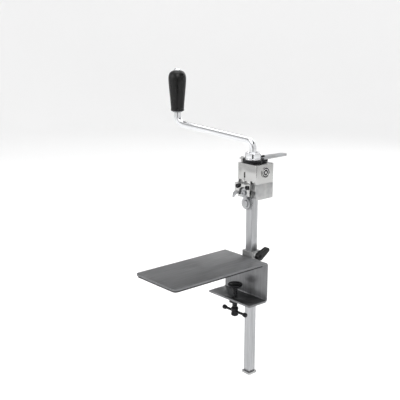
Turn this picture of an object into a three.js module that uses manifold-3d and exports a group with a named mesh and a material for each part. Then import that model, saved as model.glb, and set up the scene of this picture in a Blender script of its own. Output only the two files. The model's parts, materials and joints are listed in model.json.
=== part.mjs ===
// Bench can opener with a clamp-on base, a sliding square column, a geared head and a crank.
// Units are millimetres and +Z is up. The origin lies under the base pad, on the clamp screw's
// axis. +X runs outward past the table's end and Y runs along that end.
import * as THREE from 'three';
import { mergeVertices } from 'three/addons/utils/BufferGeometryUtils.js';
import Module from 'manifold-3d';

const wasm = await Module();
wasm.setup();

// ---------------------------------------------------------------- driving dimensions
const GAP = 0.3; // space left between pieces that touch

// Base: one bent sheet over a rubber pad, with the lower jaw of the clamp
const SHEET = 3.5;
const PAD_THICKNESS = 3.2;
const PLATE_WIDTH = 112;
const PLATE_END_X = -192;
const BACK_X = 27; // inner face of the back plate
const BEND_RADIUS = 6;
const PLATE_CORNER = 7;
const JAW_BOTTOM = -71.4;
const JAW_END_X = -16.4;

// Clamp
const WORKTOP = 42.4; // thickness of the worktop that the clamp is shut on
const SCREW_RADIUS = 5;
const SCREW_BOTTOM = -107;
const SCREW_HUB_RADIUS = 7;
const SCREW_HUB_HEIGHT = 18;
const CLAMP_NUT_HEIGHT = 8;
const FOOT_RADIUS = 14;
const FOOT_HEIGHT = 7;
const TOMMY_Z = -98;
const TOMMY_RADIUS = 2.5;
const TOMMY_LENGTH = 65;

// Column
const BAR_X = 42; // axis of the column and of the crank
const BAR_SIDE = 16;
const BAR_TOP = 137.5;
const BAR_BOTTOM = -235;
const SLEEVE_WIDTH = 26;
const SLEEVE_OUTER_X = 54;
const SLEEVE_TOP = 16;
const SLEEVE_BOTTOM = -58;
const LOCK_Z = 8;
const LOCK_TILT = THREE.MathUtils.degToRad(27);
const LOCK_ARM = 21;

// Head: x is counted from the column's axis
const HEAD_FRONT = -14.8;
const HEAD_REAR = 30.8;
const HEAD_WIDTH = 50.8;
const HEAD_BOTTOM = 119.6;
const HEAD_SPLIT = 149;
const HEAD_TOP = 185.1;
const COVER_SEAT = 181.8; // where the cover screws' heads sit
const HEAD_CORNER = 3;

// Gears, module 1
const MODULE = 1;
const SPUR_TEETH = 16;
const WHEEL_TEETH = 24;
const BEVEL_TEETH = 23;
const WHEEL_Z = 110;
const LAYSHAFT_Z = WHEEL_Z + (MODULE * (SPUR_TEETH + WHEEL_TEETH)) / 2;
const SHAFT_RADIUS = 4;
const SPUR_BACK = -9.1;
const SPUR_FACE = 3.6;
const BEVEL_RADIUS = (MODULE * BEVEL_TEETH) / 2;
const BEVEL_FACE = 2.8;
const FEED_RADIUS = 11;
const FEED_TEETH = 36;
const FEED_BACK = -13.2;
const FEED_FACE = 4.4;

// Knife and its slide
const KNIFE_Y = 2;
const KNIFE_Z = 130.5;
const KNIFE_RADIUS = 11;
const KNIFE_BACK = -17.9;
const SLIDE_TOP = 147.8;
const SLIDE_BOTTOM = 126;
const SLIDE_LEFT = 25;
const SLIDE_RIGHT = -15;
const SLIDE_LIFT = 6;
const POST_X = -11;
const POST_Y = 17;
const POST_RADIUS = 2.5;
const POST_TOP = 197;

// Crank
const CRANK_RADIUS = 6.25;
const SPINDLE_RADIUS = 5;
const LOWER_CORNER_Z = 226.7;
const UPPER_CORNER_Z = 251.7;
const ARM_LENGTH = 157;
const ARM_ANGLE = THREE.MathUtils.degToRad(113.7);
const CRANK_BEND = 17;
const GRIP_BOTTOM = 274.6;
const GRIP_LENGTH = 77;
const GRIP_RADIUS = 17.2;
const CAP_TOP = 356.4;
const COLLAR_RADIUS = 15;
const COLLAR_TOP = 205.5;
const RING_RADIUS = 17.5;
const LEVER_TIP = 89;
const LEVER_SCREWS = [22, 28];
const LEVER_SWEEP = THREE.MathUtils.degToRad(80);

// ---------------------------------------------------------------- finishes
const finish = (color, roughness, metalness) => ({ color, roughness, metalness });
const BRUSHED = finish(0x9d9fa2, 0.4, 1);
const BRIGHT = finish(0xd9dadc, 0.15, 1);
const SATIN = finish(0xa6a8aa, 0.45, 1);
const CHROME = finish(0xe3e4e6, 0.08, 1);
const DARK_STEEL = finish(0x2e2f31, 0.4, 0.9);
const TOOL_STEEL = finish(0xb9bcc0, 0.25, 1);
const BRONZE = finish(0xb08d57, 0.35, 1);
const BLACK_PLASTIC = finish(0x141415, 0.35, 0);
const RUBBER = finish(0x1c1c1d, 0.85, 0);

// ---------------------------------------------------------------- geometry helpers
/** Turns a closed geometry into a manifold solid, with its faces outwards. */
function solidOf(geometry) {
  const bare = geometry.clone();
  bare.deleteAttribute('normal');
  bare.deleteAttribute('uv');
  const merged = mergeVertices(bare, 1e-4);
  const position = merged.attributes.position;
  const corners = [new THREE.Vector3(), new THREE.Vector3(), new THREE.Vector3()];
  const triangles = [];
  let volume = 0;
  for (let i = 0; i < merged.index.count; i += 3) {
    const ids = [0, 1, 2].map((k) => merged.index.getX(i + k));
    if (new Set(ids).size < 3) continue;
    corners.forEach((corner, k) => corner.fromBufferAttribute(position, ids[k]));
    volume += corners[0].dot(corners[1].clone().cross(corners[2]));
    triangles.push(...ids);
  }
  if (volume < 0) triangles.reverse();
  return new wasm.Manifold(
    new wasm.Mesh({
      numProp: 3,
      vertProperties: new Float32Array(position.array),
      triVerts: new Uint32Array(triangles),
    }),
  );
}

/** Turns a manifold solid back into a geometry. */
function geometryOf(solid) {
  const mesh = solid.getMesh();
  const geometry = new THREE.BufferGeometry();
  geometry.setAttribute('position', new THREE.BufferAttribute(mesh.vertProperties, 3));
  geometry.setIndex(new THREE.BufferAttribute(mesh.triVerts, 1));
  geometry.computeVertexNormals();
  return geometry;
}

/** Joins geometries into one body. */
function join(...pieces) {
  return geometryOf(pieces.map(solidOf).reduce((sum, piece) => sum.add(piece)));
}

/** Cuts every tool out of a body. */
function cut(body, ...tools) {
  return geometryOf(tools.map(solidOf).reduce((rest, tool) => rest.subtract(tool), solidOf(body)));
}

/** Keeps what two bodies share. */
function common(first, second) {
  return geometryOf(solidOf(first).intersect(solidOf(second)));
}

/** A box between two corners. */
function block(x0, x1, y0, y1, z0, z1) {
  const box = new THREE.BoxGeometry(x1 - x0, y1 - y0, z1 - z0);
  return box.translate((x0 + x1) / 2, (y0 + y1) / 2, (z0 + z1) / 2);
}

/** A round bar along an axis, between two places on it; centre holds the other two coordinates. */
function rod(axis, radius, from, to, centre = [0, 0], sides = 16) {
  const bar = new THREE.CylinderGeometry(radius, radius, to - from, sides);
  const middle = (from + to) / 2;
  if (axis === 'x') return bar.rotateZ(-Math.PI / 2).translate(middle, centre[0], centre[1]);
  if (axis === 'y') return bar.translate(centre[0], middle, centre[1]);
  return bar.rotateX(Math.PI / 2).translate(centre[0], centre[1], middle);
}

/** A turned piece about Z from [radius, z] pairs. */
function turned(profile, sides = 20) {
  const points = profile.map(([radius, z]) => new THREE.Vector2(radius, z));
  return new THREE.LatheGeometry(points, sides).rotateX(Math.PI / 2);
}

/** A ring about Z with a plain bore. */
function ring(inner, outer, z0, z1, sides = 20) {
  return turned([[inner, z0], [outer, z0], [outer, z1], [inner, z1], [inner, z0]], sides);
}

/** An outline drawn by a callback, extruded along +Z. */
function prism(draw, depth, curveSegments = 4) {
  const shape = new THREE.Shape();
  draw(shape);
  return new THREE.ExtrudeGeometry(shape, { depth, bevelEnabled: false, curveSegments });
}

/** A rectangle with round corners, centred on the origin. */
function roundedRectangle(shape, width, height, radius) {
  const x = width / 2 - radius;
  const y = height / 2 - radius;
  shape.absarc(x, y, radius, 0, Math.PI / 2);
  shape.absarc(-x, y, radius, Math.PI / 2, Math.PI);
  shape.absarc(-x, -y, radius, Math.PI, 1.5 * Math.PI);
  shape.absarc(x, -y, radius, 1.5 * Math.PI, 2 * Math.PI);
  shape.closePath();
}

/** A hexagon or another regular outline by its number of sides and distance across flats. */
function regularPrism(sides, acrossFlats, depth) {
  const radius = acrossFlats / 2 / Math.cos(Math.PI / sides);
  const draw = (shape) => {
    for (let i = 0; i < sides; i += 1) {
      const angle = ((i + 0.5) * 2 * Math.PI) / sides;
      const method = i === 0 ? 'moveTo' : 'lineTo';
      shape[method](radius * Math.cos(angle), radius * Math.sin(angle));
    }
    shape.closePath();
  };
  return prism(draw, depth);
}

/** A toothed disc about Z; its section shrinks evenly to endScale at the far face. */
function toothedDisc(teeth, tipRadius, rootRadius, thickness, endScale = 1) {
  const pitch = (2 * Math.PI) / teeth;
  const flanks = [[-0.3, rootRadius], [-0.12, tipRadius], [0.12, tipRadius], [0.3, rootRadius]];
  const draw = (shape) => {
    for (let i = 0; i < teeth; i += 1) {
      flanks.forEach(([offset, radius], k) => {
        const angle = (i + offset) * pitch;
        const method = i === 0 && k === 0 ? 'moveTo' : 'lineTo';
        shape[method](radius * Math.cos(angle), radius * Math.sin(angle));
      });
    }
    shape.closePath();
  };
  const disc = prism(draw, thickness);
  const position = disc.attributes.position;
  for (let i = 0; i < position.count; i += 1) {
    const scale = 1 + (position.getZ(i) / thickness) * (endScale - 1);
    position.setXY(i, position.getX(i) * scale, position.getY(i) * scale);
  }
  return disc;
}

/** A gear of the common module. */
function gearDisc(teeth, thickness, endScale = 1) {
  const radius = (MODULE * teeth) / 2;
  return toothedDisc(teeth, radius + 0.8 * MODULE, radius - 1.1 * MODULE, thickness, endScale);
}

/** A path of straight lines whose corners are rounded by bends of one radius. */
function bentPath(corners, bendRadius) {
  const path = new THREE.CurvePath();
  let start = corners[0];
  for (let i = 1; i < corners.length - 1; i += 1) {
    const corner = corners[i];
    const back = corners[i - 1].clone().sub(corner).normalize();
    const ahead = corners[i + 1].clone().sub(corner).normalize();
    const setback = bendRadius / Math.tan(back.angleTo(ahead) / 2);
    const entry = corner.clone().addScaledVector(back, setback);
    const exit = corner.clone().addScaledVector(ahead, setback);
    path.add(new THREE.LineCurve3(start, entry));
    path.add(new THREE.QuadraticBezierCurve3(entry, corner, exit));
    start = exit;
  }
  path.add(new THREE.LineCurve3(start, corners[corners.length - 1]));
  return path;
}

/** A round rod or wire along a path. */
function wire(path, radius, steps, sides) {
  const section = new THREE.Shape();
  for (let i = 0; i < sides; i += 1) {
    const angle = (i * 2 * Math.PI) / sides;
    section[i === 0 ? 'moveTo' : 'lineTo'](radius * Math.cos(angle), radius * Math.sin(angle));
  }
  section.closePath();
  return new THREE.ExtrudeGeometry(section, { steps, extrudePath: path, bevelEnabled: false });
}

/** A socket-head screw about Z, its head's underside at z = 0 and its shank below. */
function socketScrew(shankRadius, shankLength, headRadius, headHeight) {
  const body = turned([
    [0, -shankLength],
    [shankRadius, -shankLength],
    [shankRadius, 0],
    [headRadius, 0],
    [headRadius, headHeight - 0.5],
    [headRadius - 0.5, headHeight],
    [0, headHeight],
  ], 12);
  const socket = regularPrism(6, headRadius, headHeight).translate(0, 0, headHeight * 0.4);
  return cut(body, socket);
}

/** A named mesh in a group. */
function addPiece(group, name, geometry, look) {
  const mesh = new THREE.Mesh(geometry, new THREE.MeshStandardMaterial(look));
  mesh.name = name;
  group.add(mesh);
  return mesh;
}

/** A group inside another, moved to a place. */
function addGroup(parent, x = 0, y = 0, z = 0) {
  const group = new THREE.Group();
  group.position.set(x, y, z);
  parent.add(group);
  return group;
}

// ---------------------------------------------------------------- base and clamp
/** The bent sheet: table plate, back plate and lower jaw in one C, with round plate corners. */
function basePlate() {
  const top = PAD_THICKNESS + GAP + SHEET;
  const backX = BACK_X + SHEET;
  const inner = BEND_RADIUS - SHEET;
  const section = prism((shape) => {
    shape.moveTo(PLATE_END_X, top - SHEET);
    shape.lineTo(BACK_X - inner, top - SHEET);
    shape.absarc(BACK_X - inner, top - SHEET - inner, inner, Math.PI / 2, 0, true);
    shape.absarc(BACK_X - inner, JAW_BOTTOM + SHEET + inner, inner, 0, -Math.PI / 2, true);
    shape.lineTo(JAW_END_X, JAW_BOTTOM + SHEET);
    shape.lineTo(JAW_END_X, JAW_BOTTOM);
    shape.absarc(backX - BEND_RADIUS, JAW_BOTTOM + BEND_RADIUS, BEND_RADIUS, -Math.PI / 2, 0);
    shape.absarc(backX - BEND_RADIUS, top - BEND_RADIUS, BEND_RADIUS, 0, Math.PI / 2);
    shape.lineTo(PLATE_END_X, top);
    shape.closePath();
  }, PLATE_WIDTH);
  section.rotateX(Math.PI / 2).translate(0, PLATE_WIDTH / 2, 0);
  const length = 2 * (backX - PLATE_END_X);
  const height = 200;
  const outline = prism((s) => roundedRectangle(s, length, PLATE_WIDTH, PLATE_CORNER), height);
  outline.translate(PLATE_END_X + length / 2, 0, -height / 2);
  const screwHole = rod('z', SCREW_RADIUS + GAP, JAW_BOTTOM - 1, JAW_BOTTOM + SHEET + 1);
  return cut(common(section, outline), screwHole);
}

/** Rubber pad under the plate. */
function basePad() {
  const length = BACK_X - 5 - (PLATE_END_X + 1.5);
  const pad = prism((s) => roundedRectangle(s, length, PLATE_WIDTH - 3, PLATE_CORNER), PAD_THICKNESS);
  return pad.translate(PLATE_END_X + 1.5 + length / 2, 0, 0);
}

/** Square guide on the back plate, with a round boss for the locking stud. */
function guideSleeve() {
  const half = SLEEVE_WIDTH / 2;
  const innerX = BACK_X + SHEET + GAP;
  const body = block(innerX, SLEEVE_OUTER_X, -half, half, SLEEVE_BOTTOM, SLEEVE_TOP);
  const boss = rod('y', 7.5, -half - 4, -half + 1, [BAR_X, LOCK_Z]);
  const side = BAR_SIDE / 2 + GAP;
  const bore = block(BAR_X - side, BAR_X + side, -side, side, SLEEVE_BOTTOM - 1, SLEEVE_TOP + 1);
  const studHole = rod('y', SHAFT_RADIUS + GAP, -half - 5, 0, [BAR_X, LOCK_Z]);
  return cut(join(body, boss), bore, studHole);
}

/** Welded hexagon nut under the jaw. */
function clampNut() {
  const nut = regularPrism(6, 19, CLAMP_NUT_HEIGHT);
  nut.translate(0, 0, JAW_BOTTOM - GAP - CLAMP_NUT_HEIGHT);
  return cut(nut, rod('z', SCREW_RADIUS + GAP, JAW_BOTTOM - 20, JAW_BOTTOM + 1));
}

/** Clamp screw with its drilled hub below and a headed spigot above. */
function clampScrew() {
  const neck = -WORKTOP - FOOT_HEIGHT;
  const hubTop = SCREW_BOTTOM + SCREW_HUB_HEIGHT;
  const body = turned([
    [0, SCREW_BOTTOM],
    [SCREW_HUB_RADIUS - 1, SCREW_BOTTOM],
    [SCREW_HUB_RADIUS, SCREW_BOTTOM + 1],
    [SCREW_HUB_RADIUS, hubTop - 2],
    [SCREW_RADIUS, hubTop],
    [SCREW_RADIUS, neck - GAP],
    [3, neck - GAP],
    [3, neck + 2.5],
    [4.2, neck + 2.5],
    [4.2, neck + 4],
    [2, neck + 5],
    [0, neck + 5],
  ]);
  const hole = rod('y', TOMMY_RADIUS + GAP, -10, 10, [0, TOMMY_Z], 16);
  return cut(body, hole);
}

/** Swivel foot that the screw's head turns in. */
function clampFoot() {
  const base = -WORKTOP - FOOT_HEIGHT;
  return turned([
    [3.4, base],
    [FOOT_RADIUS - 5, base],
    [FOOT_RADIUS, base + 3.5],
    [FOOT_RADIUS, -WORKTOP - 0.6],
    [FOOT_RADIUS - 0.6, -WORKTOP],
    [0, -WORKTOP],
    [0, base + 5.3],
    [4.6, base + 5.3],
    [4.6, base + 2.1],
    [3.4, base + 2.1],
    [3.4, base],
  ], 20);
}

/** One of the two balls that keep the sliding bar in the screw's hub. */
function tommyEnd(side) {
  const inner = TOMMY_LENGTH / 2 - 9;
  const profile = [[2.8, 0], [4, 0.6], [4.6, 3], [4.6, 6], [3.4, 8.5], [0, 9], [0, 4.3], [2.8, 4.3], [2.8, 0]];
  const end = turned(profile, 20).rotateX(-Math.PI / 2).translate(0, inner, TOMMY_Z);
  return side < 0 ? end.rotateZ(Math.PI) : end;
}

function buildBase(object) {
  const base = addGroup(object);
  addPiece(base, 'base_plate', basePlate(), BRUSHED);
  addPiece(base, 'base_pad', basePad(), RUBBER);
  addPiece(base, 'guide_sleeve', guideSleeve(), SATIN);
  addPiece(base, 'clamp_nut', clampNut(), DARK_STEEL);
  addPiece(base, 'clamp_foot', clampFoot(), DARK_STEEL);
  addPiece(base, 'clamp_screw', clampScrew(), DARK_STEEL);
  const tommyHalf = TOMMY_LENGTH / 2 - 9 + 4;
  const tommyBar = rod('y', TOMMY_RADIUS, -tommyHalf, tommyHalf, [0, TOMMY_Z], 16);
  addPiece(base, 'tommy_bar', tommyBar, DARK_STEEL);
  addPiece(base, 'tommy_bar_end_left', tommyEnd(1), DARK_STEEL);
  addPiece(base, 'tommy_bar_end_right', tommyEnd(-1), DARK_STEEL);
}

// ---------------------------------------------------------------- bar lock
/** Teardrop lever about its hub, drawn flat with the arm along +X. */
function lockLever() {
  const hub = 7.5;
  const tip = 4.6;
  const spread = Math.PI / 2 - Math.asin((hub - tip) / LOCK_ARM);
  const arm = prism((shape) => {
    shape.absarc(0, 0, hub, spread, -spread + 2 * Math.PI);
    shape.absarc(LOCK_ARM, 0, tip, -spread, spread);
    shape.closePath();
  }, 9, 12);
  const socket = rod('z', SHAFT_RADIUS + GAP, -1, 5);
  const screwSeat = rod('z', 2 + GAP, 0, 10);
  return cut(arm, socket, screwSeat);
}

function buildBarLock(object) {
  const faceY = -SLEEVE_WIDTH / 2 - 4 - GAP;
  const lock = addGroup(object, BAR_X, faceY, LOCK_Z);
  lock.rotation.set(Math.PI / 2, 0, 0);
  const inward = -faceY - BAR_SIDE / 2 - GAP;
  const stud = cut(rod('z', SHAFT_RADIUS, -inward, 4.7), rod('z', 1.6, 1, 6));
  addPiece(lock, 'lock_stud', stud, DARK_STEEL);
  addPiece(lock, 'lock_lever', lockLever(), BLACK_PLASTIC).rotation.z = LOCK_TILT;
  const screw = turned([[0, 2], [1.3, 2], [1.3, 9.3], [3.6, 9.3], [3.6, 10.4], [2.6, 11.2], [0, 11.4]], 20);
  addPiece(lock, 'lock_lever_screw', screw, DARK_STEEL);
}

// ---------------------------------------------------------------- column
/** Square bar with chamfered edges, a cross bore for the layshaft and screw holes. */
function columnBar() {
  const half = BAR_SIDE / 2;
  const edge = 1;
  const corners = [
    [half, edge - half], [half, half - edge], [half - edge, half], [edge - half, half],
    [-half, half - edge], [-half, edge - half], [edge - half, -half], [half - edge, -half],
  ];
  const bar = prism((shape) => {
    corners.forEach(([x, y], i) => shape[i === 0 ? 'moveTo' : 'lineTo'](x, y));
    shape.closePath();
  }, BAR_TOP - BAR_BOTTOM);
  bar.translate(0, 0, BAR_BOTTOM);
  const bushBore = rod('x', 5.8, -20, 20, [0, LAYSHAFT_Z]);
  const axleHole = rod('x', 3 + GAP, -20, 5, [0, WHEEL_Z], 20);
  const endHole = rod('z', 3 + GAP, BAR_BOTTOM - 1, BAR_BOTTOM + 16, [0, 0], 20);
  return cut(bar, bushBore, axleHole, endHole);
}

function buildColumn(column) {
  addPiece(column, 'column_bar', columnBar(), BRUSHED);
  const stopTop = BAR_BOTTOM - GAP;
  const plate = prism((s) => roundedRectangle(s, 22, 22, 3), 4).translate(0, 0, stopTop - 4);
  const stop = cut(plate, rod('z', 3 + GAP, stopTop - 5, stopTop + 1, [0, 0], 20));
  addPiece(column, 'bar_end_stop', stop, SATIN);
  const screw = socketScrew(3, 18, 5, 4).rotateX(Math.PI).translate(0, 0, stopTop - 4 - GAP);
  addPiece(column, 'bar_end_screw', screw, DARK_STEEL);
}

// ---------------------------------------------------------------- head
/** Lower casting: socket for the bar, gear pockets, knife slide windows and rim recess. */
function headHousing() {
  const length = HEAD_REAR - HEAD_FRONT;
  const middle = (HEAD_REAR + HEAD_FRONT) / 2;
  const height = HEAD_SPLIT - HEAD_BOTTOM;
  const box = prism((s) => roundedRectangle(s, length, HEAD_WIDTH, HEAD_CORNER), height);
  box.translate(middle, 0, HEAD_BOTTOM);
  const belly = rod('x', 14.6, 8.6, 19, [0, LAYSHAFT_Z], 32);
  const side = BAR_SIDE / 2 + GAP;
  const socketTop = HEAD_SPLIT + 1;
  const barSocket = block(-side, side, -side, side, HEAD_BOTTOM - 20, socketTop);
  const spurPocket = rod('x', 9.4, -13, -8, [0, LAYSHAFT_Z], 32);
  const pinionPocket = rod('z', 13, 137.8, socketTop, [0, 0], 32);
  const bevelPocket = rod('x', 12.9, 8, 16.3, [0, LAYSHAFT_Z], 32);
  const rearBore = rod('x', 5.8, 10, 24, [0, LAYSHAFT_Z]);
  const wheelGap = block(-20, -8, -13.5, 13.5, HEAD_BOTTOM - 20, 127.5);
  const rimGap = block(-20, -13, -30, 30, HEAD_BOTTOM - 1, 127.5);
  const cornerRecess = block(-20, -6, -23.4, -10, HEAD_BOTTOM - 1, 136);
  const leftWindow = block(-20, -6.7, 13.2, 20.8, 132.7, socketTop);
  const rightWindow = block(-20, -10.6, -14.2, -9.6, 137.7, socketTop);
  const tools = [barSocket, spurPocket, pinionPocket, bevelPocket, rearBore, wheelGap, rimGap];
  tools.push(cornerRecess, leftWindow, rightWindow);
  for (const x of [-3.6, 3.6]) {
    tools.push(rod('y', 3 + GAP, 0, 30, [x, 125], 20));
  }
  for (const [x, y] of coverScrewPlaces()) {
    tools.push(rod('z', 1.6 + GAP, HEAD_BOTTOM + 6, socketTop, [x, y], 16));
  }
  return cut(join(box, belly), ...tools);
}

/** The four screws that hold the cover, at the corners of the head. */
function coverScrewPlaces() {
  const places = [];
  for (const x of [HEAD_FRONT + 4, HEAD_REAR - 4.5]) {
    for (const y of [-1, 1]) places.push([x, y * (HEAD_WIDTH / 2 - 4)]);
  }
  return places.filter(([x, y]) => !(x < 0 && y > 0)).concat([[7, HEAD_WIDTH / 2 - 4]]);
}

/** Polished upper casting: bearing seat, spring pocket, slide windows and indicator slot. */
function gearboxCover() {
  const length = HEAD_REAR - HEAD_FRONT;
  const middle = (HEAD_REAR + HEAD_FRONT) / 2;
  const bottom = HEAD_SPLIT + GAP;
  const box = prism((s) => roundedRectangle(s, length, HEAD_WIDTH, HEAD_CORNER), HEAD_TOP - bottom);
  box.translate(middle, 0, bottom);
  const bushSeat = rod('z', 7 + GAP, bottom - 1, HEAD_TOP + 1);
  const collarSeat = rod('z', 11 + GAP, 175.7, HEAD_TOP + 1);
  const hollow = cut(block(-4, 26, -20, 20, bottom - 1, 172), rod('z', 11, bottom, 173, [0, 0], 32));
  const pinionRoom = rod('z', 9, bottom - 1, bottom + 3);
  const springPocket = rod('z', 3.3, bottom - 1, 172, [POST_X, POST_Y], 24);
  const postBore = rod('z', POST_RADIUS + GAP, 170, HEAD_TOP + 1, [POST_X, POST_Y], 20);
  const windowTop = SLIDE_TOP + SLIDE_LIFT + 0.5;
  const leftWindow = block(-20, -6.7, 13.2, 20.8, bottom - 1, windowTop);
  const rightWindow = block(-20, -10.6, -14.2, -9.6, bottom - 1, windowTop);
  const slot = block(-20, HEAD_FRONT + 3, 4, 8, 158.6, 169.4);
  const line = block(-20, HEAD_FRONT + 0.8, 5.5, 6.5, bottom - 1, 160);
  const tools = [bushSeat, collarSeat, hollow, pinionRoom, springPocket, postBore];
  tools.push(leftWindow, rightWindow, slot, line);
  for (const [x, y] of coverScrewPlaces()) {
    tools.push(rod('z', 2 + GAP, bottom - 1, HEAD_TOP + 1, [x, y], 16));
    tools.push(rod('z', 3 + GAP, COVER_SEAT, HEAD_TOP + 1, [x, y], 20));
  }
  return cut(box, ...tools);
}

/** Chrome collar over the crank's bush, with a recess above and a neck for the cam ring. */
function bearingCollar() {
  const neckTop = 192.3;
  return turned([
    [7.3, 176],
    [11, 176],
    [11, HEAD_TOP + GAP],
    [13, HEAD_TOP + GAP],
    [13, neckTop],
    [COLLAR_RADIUS, neckTop],
    [COLLAR_RADIUS, COLLAR_TOP - 1],
    [COLLAR_RADIUS - 1, COLLAR_TOP],
    [8.6, COLLAR_TOP],
    [8.6, 187],
    [7.3, 187],
    [7.3, 176],
  ], 24);
}

/** Round badge with a raised rim, standing on the side face. */
function badgePlate() {
  const disc = turned([[0, 0], [10.5, 0], [10.5, 1.2], [9.3, 1.2], [8.7, 0.7], [0, 0.7]], 24);
  return disc.rotateX(Math.PI / 2);
}

function buildHead(column) {
  addPiece(column, 'head_housing', headHousing(), SATIN);
  addPiece(column, 'gearbox_cover', gearboxCover(), BRIGHT);
  coverScrewPlaces().forEach(([x, y], i) => {
    const screw = socketScrew(1.6, 46, 3, 3).translate(x, y, COVER_SEAT + GAP);
    addPiece(column, `cover_screw_${i + 1}`, screw, DARK_STEEL);
  });
  [-3.6, 3.6].forEach((x, i) => {
    const tip = BAR_SIDE / 2 + GAP;
    const shank = rod('y', 3, tip, tip + 14, [x, 125], 20);
    const socket = regularPrism(6, 3, 6).rotateX(-Math.PI / 2).translate(x, tip + 10, 125);
    addPiece(column, `head_set_screw_${i + 1}`, cut(shank, socket), DARK_STEEL);
  });
  const badge = addPiece(column, 'badge_plate', badgePlate(), BRIGHT);
  badge.position.set(8.3, -HEAD_WIDTH / 2 - GAP, 170);
  addPiece(column, 'bearing_collar', bearingCollar(), CHROME);
  addPiece(column, 'crank_bush', ring(5.3, 7, 152.5, 186.6), BRONZE);
  addPiece(column, 'layshaft_bush', ring(4.3, 5.5, -8.2, 8.2).rotateY(Math.PI / 2)
    .translate(0, 0, LAYSHAFT_Z), BRONZE);
  addPiece(column, 'layshaft_rear_bush', ring(4.3, 5.5, 16.6, 23.7).rotateY(Math.PI / 2)
    .translate(0, 0, LAYSHAFT_Z), BRONZE);
  const axle = turned([[0, -17.5], [3, -17.5], [3, -3.4], [4, -3.4], [4, 4.8], [7, 4.8], [7, 7.2], [0, 7.2]], 24);
  axle.rotateY(-Math.PI / 2).translate(-12.9, 0, WHEEL_Z);
  addPiece(column, 'wheel_axle', axle, TOOL_STEEL);
}

// ---------------------------------------------------------------- gear train
/** Bevel gear: teeth that shrink towards the shafts' crossing, and a plain hub behind. */
function bevelGear(hubLength) {
  const smallEnd = (BEVEL_RADIUS - BEVEL_FACE) / BEVEL_RADIUS;
  const teeth = gearDisc(BEVEL_TEETH, BEVEL_FACE, smallEnd).translate(0, 0, BEVEL_RADIUS - BEVEL_FACE);
  const inward = teeth.scale(1, 1, -1).translate(0, 0, 2 * BEVEL_RADIUS - BEVEL_FACE);
  const hub = rod('z', 8, BEVEL_RADIUS - 0.1, BEVEL_RADIUS + hubLength);
  return join(inward, hub);
}

function buildGearTrain(column) {
  const halfPitch = Math.PI / BEVEL_TEETH;
  const layshaft = addGroup(column, 0, 0, LAYSHAFT_Z);
  layshaft.rotation.y = Math.PI / 2;
  addPiece(layshaft, 'layshaft', rod('z', SHAFT_RADIUS, SPUR_BACK - SPUR_FACE + 0.2, 23), TOOL_STEEL);
  const bore = SHAFT_RADIUS + GAP;
  const gear = cut(bevelGear(4.2), rod('z', bore, 0, 30)).rotateZ(Math.PI);
  addPiece(layshaft, 'bevel_gear', gear, TOOL_STEEL);
  const spurBlank = common(gearDisc(SPUR_TEETH, SPUR_FACE), rod('z', 8.6, -1, 10, [0, 0], 64));
  const spur = cut(spurBlank, rod('z', bore, -1, 10)).rotateZ(Math.PI / SPUR_TEETH);
  addPiece(layshaft, 'spur_pinion', spur.translate(0, 0, SPUR_BACK - SPUR_FACE), TOOL_STEEL);
  const pinion = cut(bevelGear(6), rod('z', SPINDLE_RADIUS + GAP, 0, 30)).rotateZ(halfPitch);
  addPiece(column, 'bevel_pinion', pinion.translate(0, 0, LAYSHAFT_Z), TOOL_STEEL);

  const wheel = addGroup(column, 0, 0, WHEEL_Z);
  wheel.rotation.y = Math.PI / 2;
  const wheelGear = cut(gearDisc(WHEEL_TEETH, SPUR_FACE), rod('z', bore, -1, 10)).rotateZ(Math.PI);
  addPiece(wheel, 'wheel_gear', wheelGear.translate(0, 0, SPUR_BACK - SPUR_FACE), TOOL_STEEL);
  const feed = toothedDisc(FEED_TEETH, FEED_RADIUS, FEED_RADIUS - 0.9, FEED_FACE);
  const feedWheel = cut(feed, rod('z', bore, -1, 10)).translate(0, 0, FEED_BACK - FEED_FACE);
  addPiece(wheel, 'feed_wheel', feedWheel, TOOL_STEEL);
}

// ---------------------------------------------------------------- knife slide
/** Carrier behind the knife, with two tongues that run in the head's windows. */
function knifeSlide() {
  const plate = block(-17.1, HEAD_FRONT - GAP, SLIDE_RIGHT, SLIDE_LEFT, SLIDE_BOTTOM, SLIDE_TOP);
  const leftTongue = block(-15.5, -7, 13.5, 20.5, 133, SLIDE_TOP);
  const rightTongue = block(-15.5, -11, -13.9, -9.9, 138, SLIDE_TOP);
  const post = rod('z', POST_RADIUS, SLIDE_TOP - 1, POST_TOP, [POST_X, POST_Y], 20);
  const postHead = rod('z', 5, 192.5, 194.7, [POST_X, POST_Y], 20);
  const axleHole = rod('x', 3 + GAP, -30, -12, [KNIFE_Y, KNIFE_Z], 20);
  const tools = [axleHole];
  for (const y of holderScrewPlaces()) {
    tools.push(rod('x', 2 + GAP, -30, -12, [y, 143], 16));
  }
  return cut(join(plate, leftTongue, rightTongue, post, postHead), ...tools);
}

/** The holder's two screws, either side of the knife. */
function holderScrewPlaces() {
  return [KNIFE_Y - 12.5, KNIFE_Y + 12.5];
}

/** Block in front of the carrier, arched over the knife. */
function knifeHolder() {
  const body = block(-22.3, -17.4, SLIDE_RIGHT, SLIDE_LEFT, SLIDE_BOTTOM, SLIDE_TOP);
  const arch = rod('x', KNIFE_RADIUS + 0.6, -30, -10, [KNIFE_Y, KNIFE_Z], 28);
  const mouth = block(-30, -10, KNIFE_Y - 11.6, KNIFE_Y + 11.6, SLIDE_BOTTOM - 5, KNIFE_Z);
  const tools = [arch, mouth];
  for (const y of holderScrewPlaces()) {
    tools.push(rod('x', 2 + GAP, -30, -12, [y, 143], 16));
  }
  return cut(body, ...tools);
}

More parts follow.
